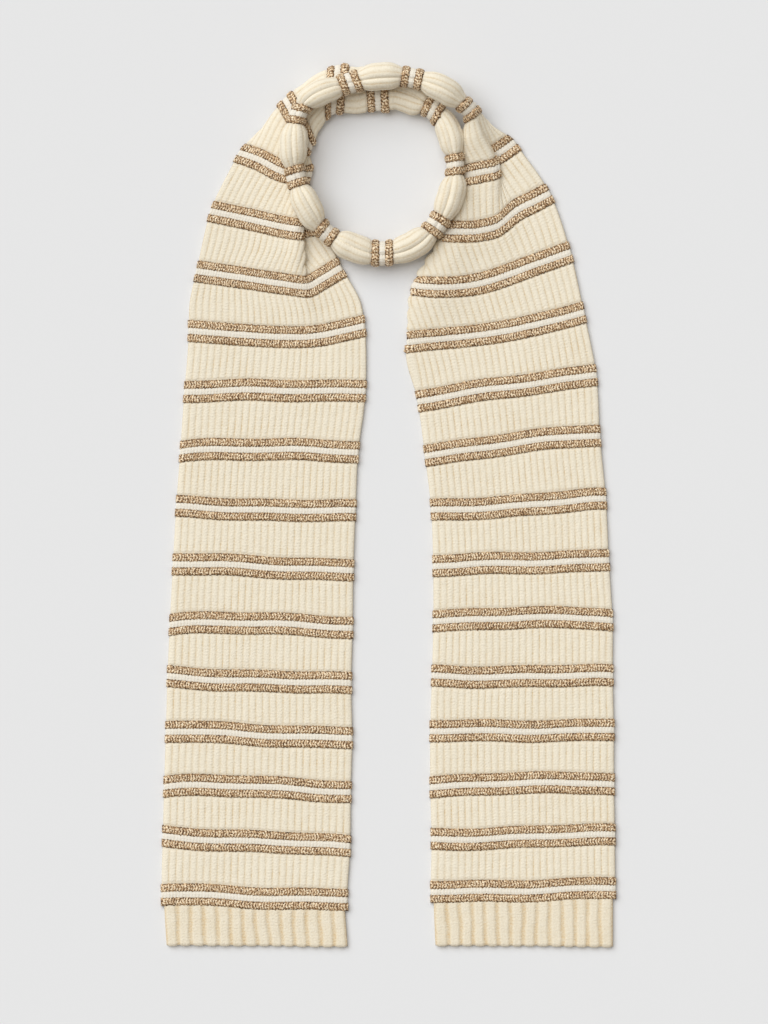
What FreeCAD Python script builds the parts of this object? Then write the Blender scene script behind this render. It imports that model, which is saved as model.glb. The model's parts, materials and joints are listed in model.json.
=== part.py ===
import FreeCAD, Part
import math
import os

# A long, narrow scarf of ribbed knitting, laid flat after one turn round a neck.
# Two flat tails run down (-Y) from a gathered neck loop. Every length is in millimetres.
# Origin: bottom centre of the whole scarf's box. +Y runs from the tail ends to the neck
# loop, +X to the right tail, +Z up from the table.
#
# The scarf is a row of stations. Each station is one pair of raised tweed ridges with a plain
# ridge between them. A rib panel fills the gap to the next station. Stations run from
# the left tail's end (1), up over the loop and round it, to the right tail's end (41).

Vec = FreeCAD.Vector

# Driving dimensions
RIDGE_HEIGHT = 6.0      # tweed ridge, right through the fabric
SINK = 0.7              # how far a rib panel's faces lie below the tweed ridges
PLAIN_SINK = 0.5        # the same, for the plain ridge between them
PLAIN_HALF = 2.35       # half the plain ridge, along the scarf
PAIR_HALF = 11.05       # half of one ridge pair, along the scarf
RIDGE_OVERHANG = 1.5    # how far the ridges pass the rib panel's side edges
WELT_INSET = 4.0        # the end welt is narrower than the rib panels by this, each side
WELT_END_Y = -441.0     # the cast-on and cast-off edges
BEAD_RADIUS = 14.0      # gathered fabric between two ridge pairs in the neck loop
FOLD_GAP = 0.3          # clearance left along each fold line

FIRST_LOOP = 15         # the neck loop's first and last stations
LAST_LOOP = 27
LAST = 41
LEFT_FOLDS = (5, 10)    # stations with a fold line just below them
RIGHT_FOLDS = (37, 32)


def left_tail_station(n):
    """Flat part of the left tail: stations get further apart towards the neck."""
    y = -391.0 + 52.6 * (n - 1) + 0.40 * (n - 1) ** 2
    rise = y + 391.0
    x = -134.5 + 0.02 * rise + 3.5e-5 * rise ** 2
    tilt = -0.035 if n < 9 else -0.012
    return [(x - 94.0, y - 94.0 * tilt), (x + 94.0, y + 94.0 * tilt)]


def right_tail_station(n):
    """Flat part of the right tail, which leans inwards towards the neck."""
    j = LAST - n
    y = -384.0 + 52.3 * j + 0.42 * j ** 2
    lean = max(0.0, y + 70.0)
    x = 133.3 - 0.024 * lean - 3.6e-4 * lean ** 2
    tilt = 0.018 + 0.12 * min(1.0, lean / 190.0)
    return [(x + 94.0, y + 94.0 * tilt), (x - 94.0, y - 94.0 * tilt)]


# Gathered stations: points across the scarf from its outer edge to its inner edge (x, y).
GATHERED = {
    11: [(-202, 174.5), (-145.5, 170), (-85, 168.5), (-25.6, 178)],
    12: [(-193.3, 234), (-154, 228.7), (-95, 218), (-50.6, 237.7)],
    13: [(-179.3, 294), (-133, 283), (-89.3, 275.6)],
    14: [(-151, 352.5), (-80.5, 331)],
    15: [(-105, 406.8), (-79, 355.5)],
    16: [(-51.5, 439.5), (-57.5, 390.5)],
    17: [(-14, 438.5), (-11.5, 394)],
    18: [(48, 406), (38, 384.5)],
    19: [(75, 341.5), (55, 338)],
    20: [(56, 273.5), (36.5, 286)],
    21: [(-8, 238), (-7.5, 264.7)],
    22: [(-69.5, 263.5), (-57.5, 279.8)],
    23: [(-104, 324), (-83.5, 331)],
    24: [(-100, 393), (-81.3, 384.5)],
    25: [(-44.2, 431), (-35.6, 409.7)],
    26: [(23.8, 436), (19.8, 414.6)],
    27: [(86, 401.5), (71.5, 388.5)],
    28: [(125, 363.3), (82, 331.5)],
    29: [(157.5, 311), (109, 280), (65, 274.5)],
    30: [(179.5, 253), (100, 223), (26, 220)],
    31: [(195, 193), (93, 171.5), (18.5, 163)],
}

# Height of each gathered ridge pair: centre above the table, and half its thickness.
LEVEL = {
    12: (4.0, 4.0), 13: (5.0, 5.0), 14: (6.0, 6.0),
    15: (7.5, 7.5), 16: (8.5, 8.5), 17: (9.0, 9.0), 18: (10.6, 10.0), 19: (13.5, 10.0),
    20: (13.5, 10.5), 21: (13.5, 11.5), 22: (16.5, 10.0), 23: (23.2, 10.4), 24: (26.5, 10.0),
    25: (29.0, 10.5), 26: (30.5, 10.3), 27: (21.0, 10.0),
    28: (5.5, 5.5), 29: (5.0, 5.0), 30: (4.0, 4.0),
}

# Centre height of each rib panel in the neck loop, by the station it starts from, and how
# far its middle swells out to (half width, half thickness).
SWELL = {
    14: (7.2, 30.5, 7.2), 15: (8.0, 26.0, 8.0), 16: (8.8, 24.0, 8.8), 17: (9.8, 17.5, 9.6),
    18: (14.0, 13.2, 13.2), 19: (14.2, 13.6, 14.0), 20: (14.0, BEAD_RADIUS, BEAD_RADIUS),
    21: (14.2, BEAD_RADIUS, BEAD_RADIUS), 22: (25.0, 13.6, 13.6),
    23: (29.5, BEAD_RADIUS, BEAD_RADIUS), 24: (31.6, 13.6, 13.6),
    25: (33.0, 13.6, 13.6), 26: (34.8, 13.0, 12.8), 27: (13.4, 19.0, 10.0),
}


def station(n):
    if n in GATHERED:
        return [Vec(x, y, 0) for x, y in GATHERED[n]]
    points = left_tail_station(n) if n < FIRST_LOOP else right_tail_station(n)
    return [Vec(x, y, 0) for x, y in points]


def level(n):
    return LEVEL.get(n, (RIDGE_HEIGHT / 2, RIDGE_HEIGHT / 2))


def onward(n):
    """Unit vector along the scarf at a station, towards the next one."""
    ends = station(n)
    out = ends[0] - ends[-1]
    out.normalize()
    return Vec(out.y, -out.x, 0)


def line_across(n, along, overhang):
    """The station's line, moved along the scarf. A straight one is made longer at both ends."""
    move = onward(n) * along
    points = [p + move for p in station(n)]
    if len(points) == 2:
        out = points[0] - points[1]
        out.normalize()
        points = [points[0] + out * overhang, points[1] - out * overhang]
    return points


def edge_through(points):
    if len(points) == 2:
        return Part.makeLine(points[0], points[1])
    curve = Part.BSplineCurve()
    curve.interpolate(points)
    return curve.toShape()


def flat_piece(near, far, bottom, top, rounding):
    """A flat layer between two lines across the scarf."""
    edges = [
        edge_through(near),
        Part.makeLine(near[-1], far[-1]),
        edge_through(far),
        Part.makeLine(near[0], far[0]),
    ]
    outline = Part.Wire(Part.__sortEdges__(edges))
    outline.translate(Vec(0, 0, bottom))
    layer = Part.Face(outline).extrude(Vec(0, 0, top - bottom))
    level_edges = [e for e in layer.Edges if abs(e.tangentAt(e.FirstParameter).z) < 0.5]
    return layer.makeFillet(rounding, level_edges)


def ring(centre, across, half_width, half_height):
    """Rounded upright outline across the scarf, for a loft."""
    r = 0.9 * min(half_width, half_height)
    a, b = half_width - r, half_height - r

    def point(u, z):
        return centre + across * u + Vec(0, 0, z)

    edges = []
    for su, sz in ((1, 1), (-1, 1), (-1, -1), (1, -1)):
        turn = math.sqrt(0.5) * r
        side = point(su * half_width, sz * b)
        cap = point(su * a, sz * half_height)
        middle = point(su * (a + turn), sz * (b + turn))
        start, end = (side, cap) if su == sz else (cap, side)
        edges.append(Part.Arc(start, middle, end).toShape())
    for i in range(4):
        edges.insert(2 * i + 1, Part.makeLine(edges[2 * i].Vertexes[-1].Point,
                                              edges[(2 * i + 1) % len(edges)].Vertexes[0].Point))
    return Part.Wire(edges)


def loop_ring(n, along, sink, overhang):
    """Outline of the gathered fabric at a station of the neck loop."""
    ends = station(n)
    centre = (ends[0] + ends[-1]) * 0.5 + onward(n) * along
    across = ends[0] - ends[-1]
    half_width = across.Length / 2 + overhang
    across.normalize()
    height, half_height = level(n)
    centre.z = height
    return ring(centre, across, half_width, half_height - sink)


def loop_panel(n):
    """Gathered rib panel that swells between station n and the next one."""
    near = loop_ring(n, PAIR_HALF, SINK, -SINK)
    far = loop_ring(n + 1, -PAIR_HALF, SINK, -SINK)
    here, there = station(n), station(n + 1)
    centre = ((here[0] + here[-1]) * 0.5 + (there[0] + there[-1]) * 0.5) * 0.5
    way_on = onward(n) + onward(n + 1)
    way_on.normalize()
    bow = (onward(n) - onward(n + 1)) * 7.0
    height, half_width, half_height = SWELL[n]
    centre = centre + bow
    centre.z = height
    middle = ring(centre, Vec(-way_on.y, way_on.x, 0), half_width, half_height)
    return Part.makeLoft([near, middle, far], True, False)


def tail_panel(n):
    """Flat rib panel between station n and the next one, down to any fold line."""
    fold_here = n + 1 in LEFT_FOLDS
    fold_there = n in RIGHT_FOLDS
    near = line_across(n, PAIR_HALF + (FOLD_GAP if fold_there else 0), -RIDGE_OVERHANG)
    far = line_across(n + 1, -PAIR_HALF - (FOLD_GAP if fold_here else 0), -RIDGE_OVERHANG)
    top = 2 * min(level(n)[0], level(n + 1)[0]) - SINK
    return flat_piece(near, far, SINK, top, 1.4)


def bars(n, kind):
    """Ridges of one station: two tweed ones, or the plain one between them."""
    spans = {
        "tweed": ((-PAIR_HALF, -PLAIN_HALF), (PLAIN_HALF, PAIR_HALF)),
        "plain": ((-PLAIN_HALF, PLAIN_HALF),),
    }[kind]
    sink = 0.0 if kind == "tweed" else PLAIN_SINK
    made = []
    for start, end in spans:
        if FIRST_LOOP <= n <= LAST_LOOP:
            rings = [loop_ring(n, at, sink, 0.0) for at in (start, end)]
            made.append(Part.makeLoft(rings, True, True))
        else:
            near = line_across(n, start, -sink)
            far = line_across(n, end, -sink)
            made.append(flat_piece(near, far, sink, 2 * level(n)[0] - sink, 1.8 - sink))
    return made


def welt(n, side):
    """Plain ribbed end, from the last ridge pair to the scarf's cut-off line."""
    near = line_across(n, side * PAIR_HALF, -WELT_INSET)
    far = [Vec(p.x, WELT_END_Y, 0) for p in near]
    return flat_piece(near, far, SINK, RIDGE_HEIGHT - SINK, 1.4)


def export(name, solids):
    shape = solids[0] if len(solids) == 1 else Part.makeCompound(solids)
    shape.exportStep("parts/" + name + ".step")


os.makedirs("parts", exist_ok=True)

export("left_end_welt", [welt(1, -1)])
export("right_end_welt", [welt(LAST, 1)])
for n in range(1, 14):
    export("left_tail_rib_panel_%02d" % n, [tail_panel(n)])
for n in range(14, 28):
    export("neck_loop_rib_panel_%02d" % (n - 13), [loop_panel(n)])
for n in range(28, 41):
    export("right_tail_rib_panel_%02d" % (LAST - n), [tail_panel(n)])

ZONES = {
    "left_tail_end": range(1, 5),
    "left_tail_middle": range(5, 10),
    "left_tail_top": range(10, 15),
    "neck_loop_under": range(15, 21),
    "neck_loop_over": range(21, 28),
    "right_tail_top": range(28, 33),
    "right_tail_middle": range(33, 38),
    "right_tail_end": range(38, 42),
}
for zone, members in ZONES.items():
    for kind in ("tweed", "plain"):
        export(zone + "_" + kind + "_ridges", [bar for n in members for bar in bars(n, kind)])
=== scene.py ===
import json
import math

import bpy
import numpy as np
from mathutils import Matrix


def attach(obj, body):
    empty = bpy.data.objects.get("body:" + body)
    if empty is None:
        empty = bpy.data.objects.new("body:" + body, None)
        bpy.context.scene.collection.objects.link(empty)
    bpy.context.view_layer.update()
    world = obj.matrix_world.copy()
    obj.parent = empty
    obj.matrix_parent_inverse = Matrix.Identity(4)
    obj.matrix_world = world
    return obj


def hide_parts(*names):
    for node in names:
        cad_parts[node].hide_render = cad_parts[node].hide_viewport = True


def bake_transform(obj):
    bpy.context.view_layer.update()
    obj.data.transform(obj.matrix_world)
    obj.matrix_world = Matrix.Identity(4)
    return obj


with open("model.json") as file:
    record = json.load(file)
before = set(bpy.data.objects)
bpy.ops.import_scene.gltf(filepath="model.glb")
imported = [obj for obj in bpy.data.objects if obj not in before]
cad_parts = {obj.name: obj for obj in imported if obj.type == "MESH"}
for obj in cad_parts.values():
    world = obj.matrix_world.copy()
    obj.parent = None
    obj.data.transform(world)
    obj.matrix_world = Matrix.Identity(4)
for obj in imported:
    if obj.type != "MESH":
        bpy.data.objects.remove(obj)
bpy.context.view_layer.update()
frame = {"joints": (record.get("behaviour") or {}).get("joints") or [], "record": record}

# ---------------------------------------------------------------------------------------
# The lay of the scarf, in millimetres, the same stations as the CAD parts.
# A station is a pair of tweed ridges with a plain ridge between them, 1 to 41 from the
# left tail's end, over the neck loop and down to the right tail's end. Panel n runs from
# station n to the next one. A point is found by its station and by s, its distance across
# the fabric from the outer edge.
# ---------------------------------------------------------------------------------------
MM = 0.001
WIDTH = 185.0          # knitted width, edge to edge
RIBS = 27              # 1x1 ribs across a panel
RIB = WIDTH / RIBS
WELT_RIBS = 14         # 2x2 ribs across an end band
PAIR_HALF = 11.05      # half of a ridge pair, along the scarf
PLAIN_HALF = 2.75      # half of the plain ridge in the middle of a pair
STITCH_ROW = 3.1       # height of one row of stitches
TWEED_STITCH = 2.7     # width of one tweed stitch
SKIN = 1.45            # half of the fabric's thickness in a groove
ROPE_SKIN = 2.2        # from the rope's middle surface to its outside
PANEL_TUCK = 0.7       # how far a panel's end runs under a ridge
WELT_TUCK = 1.6        # the same for an end band
PLAIN_TUCK = 0.9       # the same for a plain ridge's two sides
TWEED_GAP = 0.2        # a tweed ridge stops this far short of its pair's edge
LIE = 3.0              # height of the middle surface where the fabric lies flat
BEAD_BOW = 7.0         # how far a bead of the loop bows out from the line of its two ends
DRAWN_TIGHT = 1.5      # how far a ridge pair pulls each side of the rope in
WELT_END_Y = -440.6
LAST = 41
FIRST_LOOP, LAST_LOOP = 15, 27


def tail_line(n):
    """Outer and inner end of a flat tail's station."""
    if n < FIRST_LOOP:
        y = -391.0 + 52.6 * (n - 1) + 0.40 * (n - 1) ** 2
        rise = y + 391.0
        x = -134.5 + 0.02 * rise + 3.5e-5 * rise ** 2
        tilt, half = (-0.035 if n < 9 else -0.012), -94.0
    else:
        j = LAST - n
        y = -384.0 + 52.3 * j + 0.42 * j ** 2
        lean = max(0.0, y + 70.0)
        x = 133.3 - 0.024 * lean - 3.6e-4 * lean ** 2
        tilt, half = 0.018 + 0.12 * min(1.0, lean / 190.0), 94.0
    return np.array([x + half, y + half * tilt]), np.array([x - half, y - half * tilt])


# Where a flat tail is narrower than it was knitted: x shift of its inner and outer end.
DRAWN_IN = {
    1: (-2, 0.5), 2: (-1, 0.5), 3: (-1, 0.5), 4: (-2, 0.5), 5: (-4, 0.5), 6: (-5.5, 0.5),
    7: (-6.3, 1.5), 8: (-7.5, 2), 9: (-6.8, 3.3), 10: (-3.5, 4), 32: (6, -4), 33: (5.5, -8),
    34: (5.5, -8.5), 35: (4.7, -8), 36: (4, -5.5), 37: (3, -4.5), 38: (1, -4.2), 39: (1.3, -3.2),
    40: (2.3, -3.2), 41: (2, -2),
}
# How far a flat station lies from its even spacing: at its outer and its inner end.
SETTLED = {
    2: (4.5, 0), 3: (2.4, 2), 4: (0.8, 1), 5: (0, -1.5), 6: (-1, -0.5), 7: (-1, 0.5), 8: (-1, 0),
    9: (1, -1), 10: (-2.5, 2), 32: (-2, -4), 33: (0.8, -0.8), 34: (-2, -2), 35: (-1, -3.5),
    36: (-1.5, -0.8), 37: (-4.2, -0.5), 38: (-1.6, -1.2), 39: (0.5, -1.5), 41: (1, -1),
}
# Neck loop: outer and inner end of each station, its middle height and half thickness.
LOOP = {
    15: ((-105, 406.8), (-79, 355.5), 7.5, 7.5),
    16: ((-51.5, 439.5), (-57.5, 390.5), 8.5, 8.5),
    17: ((-14, 438.5), (-11.5, 394), 9.0, 9.0),
    18: ((48, 406), (38, 384.5), 10.6, 10.0),
    19: ((75, 341.5), (55, 338), 13.5, 10.0),
    20: ((56, 273.5), (36.5, 286), 13.5, 10.5),
    21: ((-8, 238), (-7.5, 264.7), 13.5, 11.5),
    22: ((-69.5, 263.5), (-57.5, 279.8), 16.5, 10.0),
    23: ((-104, 324), (-83.5, 331), 23.2, 10.4),
    24: ((-101, 391), (-81.5, 388), 26.5, 10.0),
    25: ((-44.2, 431), (-35.6, 409.7), 29.0, 10.5),
    26: ((23.8, 436), (19.8, 414.6), 30.5, 10.3),
    27: ((86, 401.5), (71.5, 388.5), 21.0, 10.0),
}
# Middle of each bead between two stations: height, half width, half thickness.
BEADS = {
    15: (8.0, 26.0, 8.0), 16: (8.8, 23.6, 8.8), 17: (10.4, 17.0, 10.6),
    18: (14.0, 13.6, 13.2), 19: (14.2, 14.0, 14.0), 20: (14.0, 14.2, 14.0),
    21: (14.2, 14.4, 14.0), 22: (25.0, 14.0, 13.6), 23: (29.5, 14.0, 14.0),
    24: (31.6, 13.8, 13.6), 25: (33.0, 14.0, 13.6), 26: (34.8, 13.4, 12.8),
}
# Cross-section of the gathered rope: s, then across and up in units of its half width and
# half thickness. ROPE has a deep tuck along the top; OPEN is the same fabric where the rope
# flattens out, and OPENNESS says how much of it there is at a station.
ROPE = [
    (0, -0.30, -0.95), (8, -0.84, -0.55), (15, -1.0, 0.05), (22, -0.80, 0.62), (28, -0.43, 0.93),
    (33, -0.15, 0.86), (37, -0.05, 0.60), (43, -0.02, 0.26), (45, 0.0, 0.22), (47, 0.02, 0.26),
    (53, 0.05, 0.60), (57, 0.15, 0.86), (62, 0.43, 0.93), (68, 0.80, 0.62), (76, 1.0, 0.05),
    (84, 0.84, -0.55), (92, 0.30, -0.95), (101, -0.30, -0.85), (110, -0.66, -0.35),
    (118, -0.6, 0.2), (124, -0.3, 0.5), (130, -0.2, 0.05), (138, 0.0, -0.45), (147, 0.5, -0.5),
    (156, 0.66, 0.0), (164, 0.4, 0.5), (172, 0.25, 0.1), (185, 0.1, -0.35),
]
OPEN = [
    (0, -0.55, -0.9), (8, -0.9, -0.6), (15, -1.0, 0.0), (22, -0.82, 0.60), (28, -0.62, 0.82),
    (33, -0.44, 0.92), (37, -0.30, 0.97), (43, -0.10, 1.0), (45, -0.03, 1.0), (47, 0.03, 1.0),
    (53, 0.24, 0.97), (57, 0.37, 0.93), (62, 0.54, 0.85), (68, 0.78, 0.60), (76, 1.0, 0.0),
    (84, 0.86, -0.6), (92, 0.6, -0.9), (101, 0.25, -0.95), (110, -0.1, -0.95), (118, -0.4, -0.9),
    (124, -0.62, -0.75), (130, -0.72, -0.3), (138, -0.5, 0.0), (147, -0.15, 0.1),
    (156, 0.2, 0.1), (164, 0.5, 0.05), (172, 0.62, -0.25), (185, 0.2, -0.4),
]
OPENNESS = [(15, 1.0), (16, 0.8), (17, 0.55), (18, 0.1), (19, 0.0), (27, 0.0), (28, 0.0)]
# Tops of the tails, where the fabric folds over itself: matching knots across the fabric
# at each station (s, x, y, z), so a fold can travel across the ribs between two stations.
LEFT_FAN = {
    11: [(0, -201, 174.5, 3), (50, -152.5, 170.8, 3), (98, -106, 168.4, 3), (127, -79.5, 168.8, 3.1),
         (131, -75.7, 169.2, 3.1), (135, -71.8, 169.6, 3), (139, -68, 170.1, 3),
         (143, -64.2, 170.7, 3), (147, -60.4, 171.5, 3.2), (185, -25.2, 179.5, 3)],
    11.5: [(0, -200, 203.8, 3), (50, -152.6, 199.5, 3.2), (98, -109, 195.3, 4.0),
           (127, -83, 193.6, 4.9), (131, -79.4, 193.8, 4.8), (135, -75.8, 194.2, 4.3),
           (139, -72.2, 194.9, 3.9), (143, -68.6, 195.9, 3.6), (147, -65, 197.1, 3.4),
           (185, -30.5, 206.5, 3)],
    12: [(0, -193.3, 234, 3), (50, -152, 228.2, 3.4), (98, -112, 222.2, 5.0),
         (127, -88, 218.8, 6.8), (131, -84.8, 218.4, 6.5), (135, -81.8, 218.8, 5.6),
         (139, -79, 219.8, 4.8), (143, -76.2, 221.2, 4.2), (147, -73.4, 222.9, 3.7),
         (185, -48.5, 238, 3)],
    12.5: [(0, -187, 264, 3), (52, -139, 257.6, 4.0), (92, -106, 252, 8.4), (116, -88.6, 249.4, 10.8),
           (120, -85.8, 249.2, 8.9), (124, -88.6, 249.4, 7.0), (135, -98, 247.6, 6.4),
           (138.5, -100, 247.2, 4.7), (142, -98, 247, 3.0), (185, -58.5, 259, 3)],
    13: [(0, -179.3, 294, 3), (44, -140, 285.8, 4.4), (84, -106, 278, 9.4), (106, -90.6, 275.5, 11.2),
         (110, -88, 275.3, 9.2), (114, -90.6, 275.5, 7.2), (131, -106, 278.6, 6.4),
         (135, -108.5, 279, 4.7), (139, -106, 278.6, 3.0), (185, -75, 279, 2.6)],
    14: [(0, -151, 352.5, 3.6), (24, -131, 345.4, 7.4), (52, -108, 333.6, 10.0),
         (86, -83.5, 330.4, 10.2), (90, -80.3, 330.4, 8.3), (94, -83.5, 330.8, 6.4),
         (116, -102, 334, 6.0), (120, -104, 334.4, 4.5), (124, -102, 334, 3.0),
         (185, -81, 331, 2.4)],
}
RIGHT_FAN = {
    28: [(0, 124.6, 363.2, 3.0), (14, 113, 355, 3.2), (30, 100, 347, 3.0), (34, 97.6, 345.4, 3.8),
         (38, 100, 344.4, 5.0), (50, 106, 340.4, 6.2), (53.5, 108, 338.2, 8.0),
         (57, 106, 336.6, 9.7), (72, 92, 333.2, 10.1), (87, 78.5, 330.2, 8.0), (91, 75, 329.6, 6.2),
         (95, 78.5, 330.2, 4.4), (108, 92, 334, 4.0), (111, 94, 334.4, 3.3), (114, 92, 334, 2.7),
         (128, 79, 330.4, 2.4), (131, 77.6, 330, 2.2), (134, 79, 330.4, 2.0), (150, 94, 334.6, 1.9),
         (166, 79, 330.4, 1.9), (185, 94, 334.6, 1.9)],
    29: [(0, 159.7, 312, 3), (16, 144.6, 304, 3), (31, 129.4, 296.6, 3.2), (34.5, 126.3, 294.7, 3.4),
         (38, 123.4, 292.5, 3.6), (51, 113.8, 284, 4.9), (54.5, 111, 281.8, 5.3),
         (58, 108, 279.8, 5.7), (76, 91.5, 274.8, 6.9), (112, 57, 273.4, 6.5),
         (116, 53.4, 273.4, 4.7), (120, 57, 273.7, 2.8), (128, 64, 274, 2.5), (134, 70, 274.4, 2.4),
         (140, 75, 275, 2.4), (146, 80, 275.6, 2.3), (152, 84, 276.4, 2.3), (158, 88, 277.4, 2.3),
         (166, 94, 279, 2.3), (175, 101, 282, 2.3), (185, 109, 285.5, 2.3)],
    30: [(0, 180.3, 253.2, 3), (24, 157, 244.8, 3), (40, 141.8, 239.4, 3), (44, 138, 238, 3),
         (48, 134.2, 236.6, 3.1), (60, 122.8, 232.4, 3.3), (64, 119, 231, 3.4),
         (68, 115.2, 229.6, 3.5), (94, 90.6, 222, 4.0), (155, 26.6, 219.4, 6.0),
         (159, 23, 220, 4.5), (163, 27, 220.4, 2.9), (168, 34.5, 220.4, 2.6), (171, 37, 220.4, 2.5),
         (173.5, 39.5, 220.3, 2.5), (176, 42, 220.2, 2.5), (178, 44, 220, 2.5),
         (180, 46, 219.8, 2.5), (181.7, 47.7, 219.6, 2.5), (183.3, 49.3, 219.4, 2.5),
         (185, 51, 219.2, 2.5)],
    31: [(0, 194, 193, 3), (24, 172.4, 187, 3), (42, 155.2, 182.9, 3), (46, 151.4, 182, 3),
         (50, 147.5, 181, 3), (62, 136, 178.5, 3), (66, 132.2, 177.6, 3), (70, 128.3, 176.7, 3),
         (96, 103.4, 172.4, 3), (180, 21.4, 163.6, 3.3), (185, 17.6, 163.1, 3.1),
         (189, 20.4, 163.5, 2.7), (194, 26, 164, 2.5), (197, 28, 164.4, 2.5),
         (200, 31, 164.8, 2.5), (203, 34, 165.2, 2.5), (206, 37, 165.6, 2.5),
         (209, 40, 166, 2.5), (212, 43, 166.4, 2.5), (215, 46, 166.8, 2.5),
         (218, 49, 167.2, 2.5)],
}


def through(knots, at):
    """Smooth curve through rows of (position, values...), read at many positions."""
    knots = np.array(knots, float)
    t, p = knots[:, 0], knots[:, 1:]
    h = np.diff(t)
    slope = np.diff(p, axis=0) / h[:, None]
    m = np.empty_like(p)
    m[0], m[-1] = slope[0], slope[-1]
    m[1:-1] = (slope[:-1] * h[1:, None] + slope[1:] * h[:-1, None]) / (h[1:] + h[:-1])[:, None]
    inside = np.clip(at, t[0], t[-1])
    i = np.clip(np.searchsorted(t, inside, side="right") - 1, 0, len(h) - 1)
    f = ((inside - t[i]) / h[i])[:, None]
    d = h[i][:, None]
    curve = ((1 + 2 * f) * (1 - f) ** 2 * p[i] + f * (1 - f) ** 2 * d * m[i]
             + f ** 2 * (3 - 2 * f) * p[i + 1] + f ** 2 * (f - 1) * d * m[i + 1])
    past = (at - inside)[:, None]
    return curve + past * np.where(past > 0, m[-1], m[0])


def flat_section(n, s):
    """A flat station, with the slight unevenness of cloth laid by hand."""
    if n == 0:
        outer, inner = np.array([-225.4, WELT_END_Y + 0.8]), np.array([-40.5, WELT_END_Y])
    elif n == LAST + 1:
        outer, inner = np.array([224.4, WELT_END_Y]), np.array([43.2, WELT_END_Y + 0.4])
    else:
        outer, inner = tail_line(n)
    outer += DRAWN_IN.get(n, (0, 0))[1], SETTLED.get(n, (0, 0))[0]
    inner += DRAWN_IN.get(n, (0, 0))[0], SETTLED.get(n, (0, 0))[1]
    share = (s / WIDTH)[:, None]
    xy = outer + (inner - outer) * share
    w = s / WIDTH * 2 * math.pi
    bend = 1.1 * np.sin(0.8 * w + 1.9 * n) + 0.6 * np.sin(2.1 * w + 4.1 * n)
    bend -= (1.2 + 1.4 * math.sin(2.3 * n)) * np.exp(-np.abs(s) / 12)
    calm = 0.3 if n in (0, LAST + 1) else 1.0
    lift = 0.35 * (1 + np.sin(1.3 * w + 2.7 * n))
    lift -= 1.5 * np.exp(-np.clip(np.minimum(s, WIDTH - s), 0, None) / 2.5)
    edge = 0.8 * np.sin(3.1 * n + np.where(s < WIDTH / 2, 0, 2))
    x = xy[:, 0] + edge * (share[:, 0] - 0.5)
    return np.column_stack([x, xy[:, 1] + calm * bend, LIE + lift])


def fan_sections(fan, s):
    """Sections at and between the stations of a tail's top, four to a panel."""
    stations = sorted(fan)
    flat = [(u, *np.array(fan[u], float).ravel()) for u in stations]
    steps = np.arange(stations[0], stations[-1] + 0.01, 0.25)
    rows = through(flat, steps).reshape(len(steps), -1, 4)
    return {float(u): through(row, s) for u, row in zip(steps, rows)}


def rope_section(u, centre, inward, half_width, half_height, s):
    """Fabric rolled into a soft rope whose tuck wanders a little round it."""
    (openness,), = through(OPENNESS, np.array([u]))
    knots = np.array(ROPE) * (1 - openness) + np.array(OPEN) * openness
    turn = (1 - openness) * math.radians(13) * math.sin(1.9 * u)
    local = through(knots, s)
    a = local[:, 0] * math.cos(turn) - local[:, 1] * math.sin(turn)
    b = local[:, 0] * math.sin(turn) + local[:, 1] * math.cos(turn)
    xy = np.array(centre[:2]) + (a * (half_width - ROPE_SKIN))[:, None] * np.array(inward)
    return np.column_stack([xy, centre[2] + b * (half_height - ROPE_SKIN)])


def onward(n):
    """Unit vector along the scarf at a loop station."""
    outer, inner = (np.array(p, float) for p in LOOP[n][:2])
    out = (outer - inner) / np.linalg.norm(outer - inner)
    return np.array([out[1], -out[0]])


def loop_sections(s):
    """Sections of the neck loop: narrow at each ridge pair, full between them."""
    line, sizes = [], {}
    for n in range(FIRST_LOOP, LAST_LOOP + 1):
        outer, inner, z, half_height = LOOP[n]
        outer, inner = np.array(outer, float), np.array(inner, float)
        width = np.linalg.norm(inner - outer)
        line.append((n, *((outer + inner) / 2), z, *((inner - outer) / width)))
        sizes[n] = np.array([width / 2 - (DRAWN_TIGHT if n >= 18 else 0), half_height])
        if n in BEADS:
            z, half_width, half_height = BEADS[n]
            ends = [np.array(p, float) for m in (n, n + 1) for p in LOOP[m][:2]]
            centre = sum(ends) / 4 + (onward(n) - onward(n + 1)) * BEAD_BOW
            way = onward(n) + onward(n + 1)
            way /= np.linalg.norm(way)
            line.append((n + 0.5, *centre, z, way[1], -way[0]))
            sizes[n + 0.5] = np.array([half_width, half_height])
    made = {}
    for n in range(FIRST_LOOP, LAST_LOOP + 1):
        near = [(0, 0.0)]
        if n > FIRST_LOOP:
            near += [(-0.5, 1.0), (-0.32, 0.88), (-0.19, 0.16)]
        if n in BEADS:
            near += [(0.19, 0.16), (0.32, 0.88)]
        for step, fullness in near:
            bead = n - 0.5 if step < 0 else n + 0.5
            size = sizes[n] if fullness == 0 else sizes[n] + (sizes[bead] - sizes[n]) * fullness
            x, y, z, way_x, way_y = through(line, np.array([n + step]))[0]
            made[n + step] = rope_section(n + step, (x, y, z), (way_x, way_y), *size, s)
    return made


def sections(s):
    """Every known cross-section of the scarf, in order: (station, points)."""
    made = {n: flat_section(n, s) for n in [*range(0, 11), *range(32, LAST + 2)]}
    made.update(fan_sections(LEFT_FAN, s))
    made.update(loop_sections(s))
    made.update(fan_sections(RIGHT_FAN, s))
    # where the loop opens into the right tail its folded layer is tucked towards the loop
    tucked = np.exp(-((s - 85) / 24) ** 4)[:, None]
    made[27.5] = (made[27] + made[28]) / 2 + tucked * np.array([-5.0, -1.0, -1.0])
    return sorted(made.items())


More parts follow.
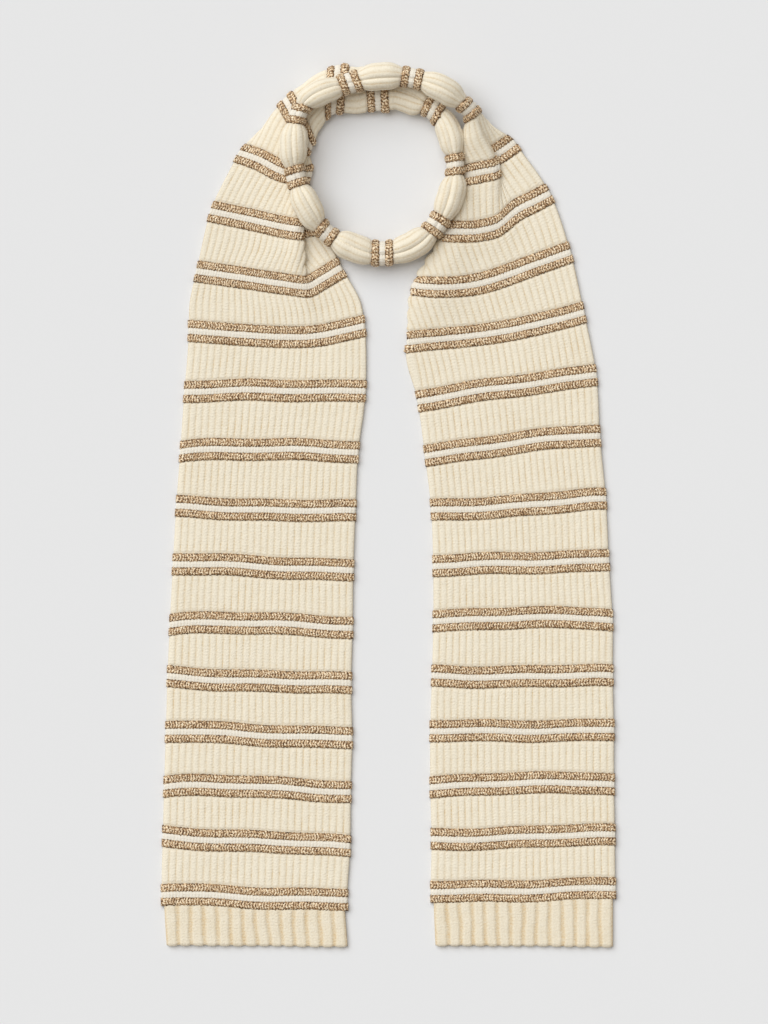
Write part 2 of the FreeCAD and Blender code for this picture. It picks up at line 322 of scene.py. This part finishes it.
class Cloth:
    """The middle surface of the scarf for one set of columns across it."""

    STEPS = 48

    def __init__(self, s):
        self.s = np.asarray(s, float)
        made = sections(self.s)
        at = np.array([u for u, _ in made], float)
        points = np.array([p for _, p in made])
        flat = np.column_stack([at, points.reshape(len(at), -1)])
        self.spans, self.lengths = {}, {}
        for n in range(0, LAST + 1):
            u = np.linspace(n, n + 1, self.STEPS + 1)
            p = through(flat, u).reshape(len(u), len(self.s), 3)
            step = np.linalg.norm(np.diff(p, axis=0), axis=2)
            self.spans[n] = p
            self.lengths[n] = np.vstack([np.zeros(len(self.s)), np.cumsum(step, axis=0)])

    def half(self, n):
        """How much of each column on each side of station n its ridge pair takes."""
        before = self.lengths[max(n - 1, 0)][-1]
        after = self.lengths[min(n, LAST)][-1]
        return np.minimum(PAIR_HALF, 0.30 * np.minimum(before, after))

    def read(self, n, d):
        """Points on every column at distances d (rows by columns) past station n."""
        out = np.empty((*d.shape, 3))
        for j in range(d.shape[1]):
            if d[:, j].mean() >= 0:
                along, p = self.lengths[n][:, j], self.spans[n][:, j]
                x = d[:, j]
            else:
                along, p = self.lengths[n - 1][:, j], self.spans[n - 1][:, j]
                x = along[-1] + d[:, j]
            for c in range(3):
                out[:, j, c] = np.interp(x, along, p[:, c])
        return out


def normals(p):
    """Unit normals of a grid of points."""
    across = np.gradient(p, axis=1)
    along = np.gradient(p, axis=0)
    n = np.cross(across, along)
    return n / np.maximum(np.linalg.norm(n, axis=2, keepdims=True), 1e-9)


def wander(a, b, seed):
    """Smooth, repeatable unevenness between -1 and 1."""
    return (np.sin(a * 1.00 + b * 0.71 + seed) * 0.5 + np.sin(a * 2.13 - b * 1.37 + 2.3 * seed) * 0.3
            + np.sin(-a * 0.47 + b * 2.9 + 4.1 * seed) * 0.2)


def shell(p, top, bottom, s, d, painted_shading):
    """Closed skin round a middle surface: (vertices, quads, uv, relief), relief being each point's
    painted shade and highlight level.
    """
    rows, columns = p.shape[:2]
    n = normals(p)
    points = np.concatenate([(p + n * top[..., None]).reshape(-1, 3),
                             (p - n * bottom[..., None]).reshape(-1, 3)])
    i, j = np.meshgrid(np.arange(rows - 1), np.arange(columns - 1), indexing="ij")
    a = (i * columns + j).ravel()
    over = np.column_stack([a, a + 1, a + columns + 1, a + columns])
    off = rows * columns
    under = over[:, ::-1] + off
    edge = np.concatenate([
        np.arange(columns),
        np.arange(1, rows) * columns + columns - 1,
        (rows - 1) * columns + np.arange(columns - 2, -1, -1),
        np.arange(rows - 2, 0, -1) * columns,
    ])
    after = np.roll(edge, -1)
    rim = np.column_stack([edge, edge + off, after + off, after])
    uv = np.column_stack([np.broadcast_to(s, (rows, columns)).ravel(),
                          np.broadcast_to(d, (rows, columns)).ravel()])
    return (points, np.concatenate([over, under, rim]), np.concatenate([uv, uv]),
            np.concatenate([painted_shading[0].ravel(), painted_shading[1].ravel()]))


def piece(name, shells, material):
    """One mesh object from closed skins, in metres, pressed flat where it meets the table."""
    points, quads, uv, painted_shading, start = [], [], [], [], 0
    for p, q, t, r in shells:
        points.append(p)
        quads.append(q + start)
        uv.append(t)
        painted_shading.append(r)
        start += len(p)
    points, quads = np.concatenate(points) * MM, np.concatenate(quads)
    points[:, 2] = np.maximum(points[:, 2], 0.0)
    uv, painted_shading = np.concatenate(uv), np.concatenate(painted_shading)
    mesh = bpy.data.meshes.new(name)
    mesh.vertices.add(len(points))
    mesh.vertices.foreach_set("co", points.astype(np.float32).ravel())
    mesh.loops.add(quads.size)
    mesh.loops.foreach_set("vertex_index", quads.astype(np.int32).ravel())
    mesh.polygons.add(len(quads))
    mesh.polygons.foreach_set("loop_start", np.arange(0, quads.size, 4, dtype=np.int32))
    mesh.update(calc_edges=True)
    mesh.polygons.foreach_set("use_smooth", np.ones(len(quads), bool))
    layer = mesh.uv_layers.new(name="knit")
    layer.data.foreach_set("uv", uv[quads.ravel()].astype(np.float32).ravel())
    # Each point's painted shade and highlight level, read by the wool and tweed colour ramps.
    raised = mesh.attributes.new("painted_shading", "FLOAT", "POINT")
    raised.data.foreach_set("value", painted_shading.astype(np.float32))
    mesh.validate()
    mesh.materials.append(material)
    obj = bpy.data.objects.new(name, mesh)
    bpy.context.scene.collection.objects.link(obj)
    return obj


def edge_taper(s, reach):
    """Falls to nothing at the fabric's two side edges."""
    x = np.clip(np.minimum(s - s[0], s[-1] - s) / reach, 0, 1)
    return 0.12 + 0.88 * np.sqrt(1 - (1 - x) ** 2)


# ---------------------------------------------------------------------------------------
# Materials
# ---------------------------------------------------------------------------------------
def knit_material(name, roughness, sheen):
    material = bpy.data.materials.new(name)
    material.use_nodes = True
    nodes = material.node_tree.nodes
    shader = nodes["Principled BSDF"]
    shader.inputs["Roughness"].default_value = roughness
    shader.inputs["Sheen Weight"].default_value = sheen
    shader.inputs["Sheen Roughness"].default_value = 0.5
    shader.inputs["Specular IOR Level"].default_value = 0.25
    return material, nodes, material.node_tree.links, shader


def ramp(nodes, stops):
    node = nodes.new("ShaderNodeValToRGB")
    while len(node.color_ramp.elements) < len(stops):
        node.color_ramp.elements.new(0.5)
    for element, (at, colour) in zip(node.color_ramp.elements, stops):
        element.position = at
        element.color = (*colour, 1)
    return node


def maths(nodes, links, kind, a, b=None):
    node = nodes.new("ShaderNodeMath")
    node.operation = kind
    for socket, value in zip(node.inputs, (a, b)):
        if value is None:
            continue
        if isinstance(value, (int, float)):
            socket.default_value = value
        else:
            links.new(value, socket)
    return node.outputs[0]


def noise(nodes, links, vector, scale, detail=2.0, rough=0.5):
    node = nodes.new("ShaderNodeTexNoise")
    node.inputs["Scale"].default_value = scale
    node.inputs["Detail"].default_value = detail
    node.inputs["Roughness"].default_value = rough
    links.new(vector, node.inputs["Vector"])
    return node.outputs["Fac"]


def swing(nodes, links, value, amount):
    """A value that wanders round a half, turned into one that wanders round nothing."""
    return maths(nodes, links, "MULTIPLY", maths(nodes, links, "SUBTRACT", value, 0.5), amount)


def bump(nodes, links, height, distance, strength, below=None):
    node = nodes.new("ShaderNodeBump")
    node.inputs["Distance"].default_value = distance
    node.inputs["Strength"].default_value = strength
    links.new(height, node.inputs["Height"])
    if below is not None:
        links.new(below, node.inputs["Normal"])
    return node.outputs["Normal"]


def wool(name, groove, middle, peak, half_stitch):
    """Soft brushed wool: painted shade makes the grooves darker and warmer; a fuzzy mottle and faint
    V stitches.
    """
    material, nodes, links, shader = knit_material(name, 0.92, 0.25)
    shader.inputs["Sheen Tint"].default_value = (1.0, 0.97, 0.9, 1)
    raised = nodes.new("ShaderNodeAttribute")
    raised.attribute_name = "painted_shading"
    place = nodes.new("ShaderNodeUVMap")
    place.uv_map = "knit"
    where = nodes.new("ShaderNodeTexCoord").outputs["Object"]
    fuzz = noise(nodes, links, where, 650.0, 3.0, 0.7)
    patch = noise(nodes, links, where, 45.0, 2.0)
    level = maths(nodes, links, "ADD", raised.outputs["Fac"], swing(nodes, links, fuzz, 1.3))
    level = maths(nodes, links, "ADD", level, swing(nodes, links, patch, 0.35))
    # The ramp runs from painted shade in the grooves and between stitches (groove) up to the lit rib
    # tops (peak).
    colour = ramp(nodes, [(0.0, groove), (0.42, middle), (1.0, peak)])
    links.new(level, colour.inputs["Fac"])
    links.new(colour.outputs["Color"], shader.inputs["Base Color"])
    split = nodes.new("ShaderNodeSeparateXYZ")
    links.new(place.outputs["UV"], split.inputs["Vector"])
    along = maths(nodes, links, "MULTIPLY", split.outputs["Y"], 2 * math.pi / STITCH_ROW)
    zigzag = maths(nodes, links, "PINGPONG", split.outputs["X"], half_stitch)
    lean = maths(nodes, links, "MULTIPLY", zigzag, 0.8)
    vees = maths(nodes, links, "SINE", maths(nodes, links, "ADD", along, lean))
    first = bump(nodes, links, vees, 0.0003, 0.2)
    links.new(bump(nodes, links, fuzz, 0.0014, 0.6, first), shader.inputs["Normal"])
    return material


def tweed(name):
    """Marled metallic yarn: brown, bronze and pale gold strands in small slanted stitches, with
    painted shade at the ridge edges and between stitches, and painted glints.
    """
    material, nodes, links, shader = knit_material(name, 0.42, 0.0)
    shader.inputs["Metallic"].default_value = 0.12
    shader.inputs["Specular IOR Level"].default_value = 0.5
    raised = nodes.new("ShaderNodeAttribute")
    raised.attribute_name = "painted_shading"
    place = nodes.new("ShaderNodeUVMap")
    place.uv_map = "knit"
    cells = nodes.new("ShaderNodeTexVoronoi")
    cells.voronoi_dimensions = "2D"
    cells.inputs["Scale"].default_value = 0.95
    links.new(place.outputs["UV"], cells.inputs["Vector"])
    shade = nodes.new("ShaderNodeSeparateColor")
    links.new(cells.outputs["Color"], shade.inputs["Color"])
    # Fine specks: partly the marl's own light and dark fibres, partly painted glints of the metallic
    # yarn; the same noise drives the bump.
    speck_and_glint = noise(nodes, links, place.outputs["UV"], 0.85, 3.0, 0.75)
    level = maths(nodes, links, "MULTIPLY", raised.outputs["Fac"], 0.78)
    level = maths(nodes, links, "ADD", level, swing(nodes, links, shade.outputs["Red"], 0.65))
    level = maths(nodes, links, "ADD", level, swing(nodes, links, speck_and_glint, 2.0))
    # Ramp: dark brown yarn with painted shade at the bottom, then brown, bronze and pale gold, with
    # painted glints at the top stop.
    colour = ramp(nodes, [(0.0, (0.075, 0.033, 0.009)), (0.22, (0.25, 0.13, 0.05)),
                          (0.44, (0.50, 0.31, 0.15)), (0.60, (0.85, 0.60, 0.345)),
                          (0.74, (1.0, 0.87, 0.64))])
    links.new(level, colour.inputs["Fac"])
    links.new(colour.outputs["Color"], shader.inputs["Base Color"])
    links.new(bump(nodes, links, speck_and_glint, 0.0008, 0.8), shader.inputs["Normal"])
    return material


# Each wool's first colour is the painted shade of its grooves, and its last is the lit colour of its
# rib tops.
CREAM = wool("cream_rib_wool", (0.72, 0.535, 0.30), (0.81, 0.70, 0.515), (0.91, 0.83, 0.67), 3.43)
PLAIN = wool("plain_ridge_wool", (0.66, 0.55, 0.38), (0.85, 0.775, 0.64), (0.92, 0.87, 0.765), 1.4)
TWEED = tweed("marled_metallic_tweed")

# ---------------------------------------------------------------------------------------
# Pieces
# ---------------------------------------------------------------------------------------
def rib_shape(phase):
    """Rounded rib, 0 in the groove at whole numbers and 1 half way between."""
    return np.abs(np.sin(math.pi * phase)) ** 0.42


def rib_columns():
    """Columns across a panel, nine to a rib and closer at its two edges."""
    inner = np.arange(1, RIBS * 9) / 9 * RIB
    return np.concatenate([[0, 0.35, 1.0], inner[inner > 1.2][:-1],
                           [WIDTH - 1.0, WIDTH - 0.35, WIDTH]])


def smooth(x):
    """Eased step from 0 to 1."""
    x = np.clip(x, 0, 1)
    return x * x * (3 - 2 * x)


def panel(cloth, n, rows=38):
    """Ribbed panel between station n and the next one; its ends tuck under the ridges."""
    s = cloth.s
    length = cloth.lengths[n][-1]
    near, far = cloth.half(n) - PANEL_TUCK, length - cloth.half(n + 1) + PANEL_TUCK
    f = np.linspace(0, 1, rows)[:, None]
    d = near + (far - near) * f
    p = cloth.read(n, d)
    drift = 0.055 * wander(s / 31 + n, d / 17, n)
    ends = smooth(np.minimum(d - near, far - d) / 3.6)
    rib = np.floor(s / RIB + drift)
    stitch = np.sin(2 * math.pi * (d / STITCH_ROW + 0.37 * rib) + 1.2 * wander(s / 5, d / 9, n))
    painted_shading, thick = [], []
    for shift in (0.0, 0.5):
        phase = s / RIB + shift + drift
        bumps = rib_shape(phase)
        # Painted shade: the colour level is darker in the rib grooves and between stitches, and
        # evened out near the tucked ends.
        painted_shading.append(0.62 + (bumps - 0.62) * ends + 0.07 * stitch * (1.3 - bumps))
        uneven = 0.13 * wander(s / 6 + shift, d / 5, 3 * n + 1)
        thick.append((SKIN - 0.30 * (1 - ends) + (0.66 + 0.04 * stitch) * bumps * ends + uneven)
                     * edge_taper(s, 1.6))
    return shell(p, thick[0], thick[1], s, d + 60 * n, painted_shading), (far - near).mean()


def welt(cloth, n, side, rows=28):
    """2x2 ribbed end, wide ribs and narrow grooves, with a slightly scalloped last row."""
    s = cloth.s
    length = cloth.lengths[n][-1]
    pair = cloth.half(1 if side < 0 else LAST)
    reach = length - pair + WELT_TUCK
    start = 0.0 if side < 0 else pair - WELT_TUCK
    d = start + reach * np.linspace(0, 1, rows)[:, None]
    p = cloth.read(n, d)
    run = (s - s[0]) / (s[-1] - s[0])
    cut = d[0] if side < 0 else d[-1]
    from_cut = np.abs(d - cut)
    drift = 0.10 * wander(s / 19, d / 14, n) * np.clip(np.minimum(run, 1 - run) * 12, 0, 1)
    phase = run * WELT_RIBS + drift
    lobe = smooth(np.abs(np.sin(math.pi * phase)) * 1.55 - 0.28)
    back = smooth(np.abs(np.cos(math.pi * phase)) * 1.55 - 0.28)
    stitch = np.sin(2 * math.pi * d / STITCH_ROW + 2.0 * np.abs(np.sin(2 * math.pi * phase)))
    scallop = np.exp(-from_cut / 2.0) * (0.6 - lobe) * 1.1
    p[..., 1] += scallop
    tip = np.clip(from_cut / 1.8, 0, 1)
    tip = 0.25 + 0.75 * np.sqrt(1 - (1 - tip) ** 2)
    pinch = np.clip((reach - from_cut) / 5.0, 0, 1) ** 0.7
    thick, painted_shading = [], []
    for shape in (lobe, back):
        # Painted shade: the colour level is darker in the grooves and between stitches, and less
        # marked where the band tucks under its ridge pair.
        painted_shading.append(0.56 + (shape - 0.66) * (0.2 + 0.32 * pinch) + 0.05 * stitch)
        thick.append((SKIN + (0.88 * shape + 0.05 * stitch) * (0.35 + 0.65 * pinch)
                      + 0.13 * wander(s / 6, d / 6, 5 + side)) * edge_taper(s, 1.8) * tip)
    return shell(p, thick[0], thick[1], s, d, painted_shading), reach.mean()


def tweed_ridge(cloth, n, side):
    """One raised ridge of marled yarn: two rows of small slanted stitches."""
    s = cloth.s
    q = np.linspace(-1, 1, 9)[:, None]
    half = cloth.half(n) / PAIR_HALF
    centre = side * (PAIR_HALF + PLAIN_HALF) / 2
    reach = (PAIR_HALF - PLAIN_HALF) / 2 - TWEED_GAP
    rolled = FIRST_LOOP <= n <= LAST_LOOP
    wobble = 0.22 * np.sin(s / 3.4 * 2 * math.pi * 0.5 + n) + 0.25 * wander(s / 7, q * 0, n + side)
    ragged = 1 + 0.07 * np.sin(s * 1.85 + side) + 0.10 * wander(s / 0.9, q * 0, n - side)
    d = half * (centre + reach * q * ragged + wobble * 0.6)
    p = cloth.read(n, d)
    crown = np.sqrt(np.clip(1 - 0.93 * q ** 2, 0, 1))
    thick, painted_shading = [], []
    for face in (0, 1):
        lean = np.where((side > 0) ^ (face == 1), 1, -1)
        uneven = 0.15 * np.sin(s / 11 + n) + 0.16 * wander(s / TWEED_STITCH, q, n)
        phase = s / TWEED_STITCH + lean * 0.55 * np.abs(q) + uneven
        knot = (0.5 + 0.48 * np.cos(2 * math.pi * phase)
                + 0.12 * np.cos(4 * math.pi * phase + 2.0 * q + n))
        split = np.exp(-(q / 0.16) ** 2)
        bumpy = 0.55 * knot * (1 - 0.5 * split) - 0.25 * split
        level = 1.50 + (1.45 + 0.7 * rolled) * crown + bumpy * (0.35 + 0.65 * crown)
        level = level + 0.14 * wander(s / 2.1, q * 3, n + face)
        thick.append(level * edge_taper(s, 1.7))
        # Painted shade and highlight: the colour level is darker at the ridge's two edges (partly its
        # darker yarn, partly painted shade), in the split between its rows and between stitches, and
        # lighter on the stitch tops.
        painted_shading.append(np.clip(crown ** 0.8 * (0.30 + 0.70 * knot) - 0.22 * split, 0, 1.2)
                      * np.ones_like(d))
    return shell(p, thick[0], thick[1], s, q * 4.35 + side * 30 + 17 * n, painted_shading)


def plain_ridge(cloth, n):
    """Smooth, whiter ridge between the two tweed ones, read half by half from its two panels."""
    s = cloth.s
    q = np.linspace(-1, 1, 9)[:, None]
    d = cloth.half(n) / PAIR_HALF * (PLAIN_HALF + PLAIN_TUCK) * q
    before, after = cloth.read(n, d[:4]), cloth.read(n, d[5:])
    p = np.concatenate([before, (before[-1:] + after[:1]) / 2, after])
    crown = np.sqrt(np.clip(1 - 0.85 * q ** 2, 0, 1))
    knots = np.sin(s * 2 * math.pi / 3.2 + 1.5 * np.abs(q))
    level = 1.35 + 1.10 * crown + 0.24 * knots + 0.14 * wander(s / 4, 2 * q, n)
    thick = level * edge_taper(s, 1.6)
    # Painted shade: the colour level is darker at the ridge's two edges and between its stitch bumps.
    painted_shading = (0.20 + 0.50 * crown + 0.22 * knots) * np.ones_like(d)
    return shell(p, thick, thick, s, d, [painted_shading, painted_shading])


# The same cloth on four sets of columns: for tweed ridges, plain ridges, panels and end bands.
FINE = Cloth(np.linspace(-1.3, WIDTH + 1.3, 385))
MEDIUM = Cloth(np.linspace(-0.6, WIDTH + 0.6, 200))
RIBBED = Cloth(rib_columns())
WELT = Cloth(np.linspace(2.2, WIDTH - 2.2, WELT_RIBS * 18 + 1))

floor_mesh = bpy.data.meshes.new("floor")
floor_mesh.from_pydata([(-8, -8, 0), (8, -8, 0), (8, 8, 0), (-8, 8, 0)], [], [(0, 1, 2, 3)])
floor = bpy.data.objects.new("floor", floor_mesh)
bpy.context.scene.collection.objects.link(floor)
floor.location.z = -0.0003

BODY = {}
for name, members in frame["record"]["behaviour"]["bodies"].items():
    BODY.update({node: name for node in members})
HINGES = {j["child"]: j for j in frame["joints"]}


def fit(obj, node, bend=None):
    """The piece stands for its CAD node and moves with its body; a piece at a tail's fold is only
    fixed where it lies, not attached to a body.
    """
    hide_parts(node)
    if bend is None:
        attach(obj, BODY[node])
        return
    hinge = HINGES[bend]
    axis = np.array(hinge["axis"])
    down = np.cross(axis, (0, 0, 1.0))
    down = down / np.linalg.norm(down) * (1 if down[1] < 0 else -1)
    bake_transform(obj)


# Panels at a tail's fold, and the body below the fold.
BENDS = {"left_tail_rib_panel_09": "left_tail_upper", "left_tail_rib_panel_04": "left_tail_lower",
         "right_tail_rib_panel_09": "right_tail_upper", "right_tail_rib_panel_04": "right_tail_lower"}


def panel_name(n):
    if n < 14:
        return "left_tail_rib_panel_%02d" % n
    if n < 28:
        return "neck_loop_rib_panel_%02d" % (n - 13)
    return "right_tail_rib_panel_%02d" % (LAST - n)


sheets = {}
for n in range(1, LAST):
    node = panel_name(n)
    skin, length = panel(RIBBED, n)
    obj = piece("knit_" + node, [skin], CREAM)
    fit(obj, node, BENDS.get(node))
    sheets[n] = (obj, length)

# Ridges are grouped by the stretch of the scarf they are on.
ZONES = {
    "left_tail_end": range(1, 5), "left_tail_middle": range(5, 10),
    "left_tail_top": range(10, 15), "neck_loop_under": range(15, 21),
    "neck_loop_over": range(21, 28), "right_tail_top": range(28, 33),
    "right_tail_middle": range(33, 38), "right_tail_end": range(38, 42),
}
trims = {}
for zone, members in ZONES.items():
    rolls = [tweed_ridge(FINE, n, side) for n in members for side in (-1, 1)]
    gold = piece("knit_" + zone + "_tweed", rolls, TWEED)
    fit(gold, zone + "_tweed_ridges")
    white = piece("knit_" + zone + "_plain", [plain_ridge(MEDIUM, n) for n in members], PLAIN)
    fit(white, zone + "_plain_ridges")
    trims[zone] = [gold, white]

for name, n, side in (("left_end_welt", 0, -1), ("right_end_welt", LAST, 1)):
    skin, length = welt(WELT, n, side)
    obj = piece("knit_" + name, [skin], CREAM)
    fit(obj, name)

# Each panel's stretch of the scarf is dropped from trims.
for n, (obj, length) in sheets.items():
    zone = next(z for z, members in ZONES.items() if n in members)
    trims.pop(zone, ())

# ---------------------------------------------------------------------------------------
# Floor, light and camera
# ---------------------------------------------------------------------------------------
paper = bpy.data.materials.new("paper")
paper.use_nodes = True
paper.node_tree.nodes["Principled BSDF"].inputs["Base Color"].default_value = (0.80, 0.80, 0.80, 1)
paper.node_tree.nodes["Principled BSDF"].inputs["Roughness"].default_value = 0.95
floor_mesh.materials.append(paper)

world = bpy.data.worlds.new("studio")
bpy.context.scene.world = world
world.use_nodes = True
world.node_tree.nodes["Background"].inputs["Color"].default_value = (1.0, 0.955, 0.90, 1)
world.node_tree.nodes["Background"].inputs["Strength"].default_value = 0.38

key = bpy.data.lights.new("softbox", "SUN")
key.energy = 2.42
key.color = (1.0, 1.028, 1.062)
key.angle = math.radians(60)
key_object = bpy.data.objects.new("softbox", key)
key_object.rotation_euler = (math.radians(-26), math.radians(-28), 0)
bpy.context.scene.collection.objects.link(key_object)

camera = bpy.data.cameras.new("camera")
camera.lens = 211
camera.sensor_width = 36
camera.clip_end = 50
camera_object = bpy.data.objects.new("camera", camera)
camera_object.location = (-0.006, -0.0065, 6.0)
bpy.context.scene.collection.objects.link(camera_object)
bpy.context.scene.camera = camera_object
bpy.context.scene.view_settings.view_transform = "Standard"
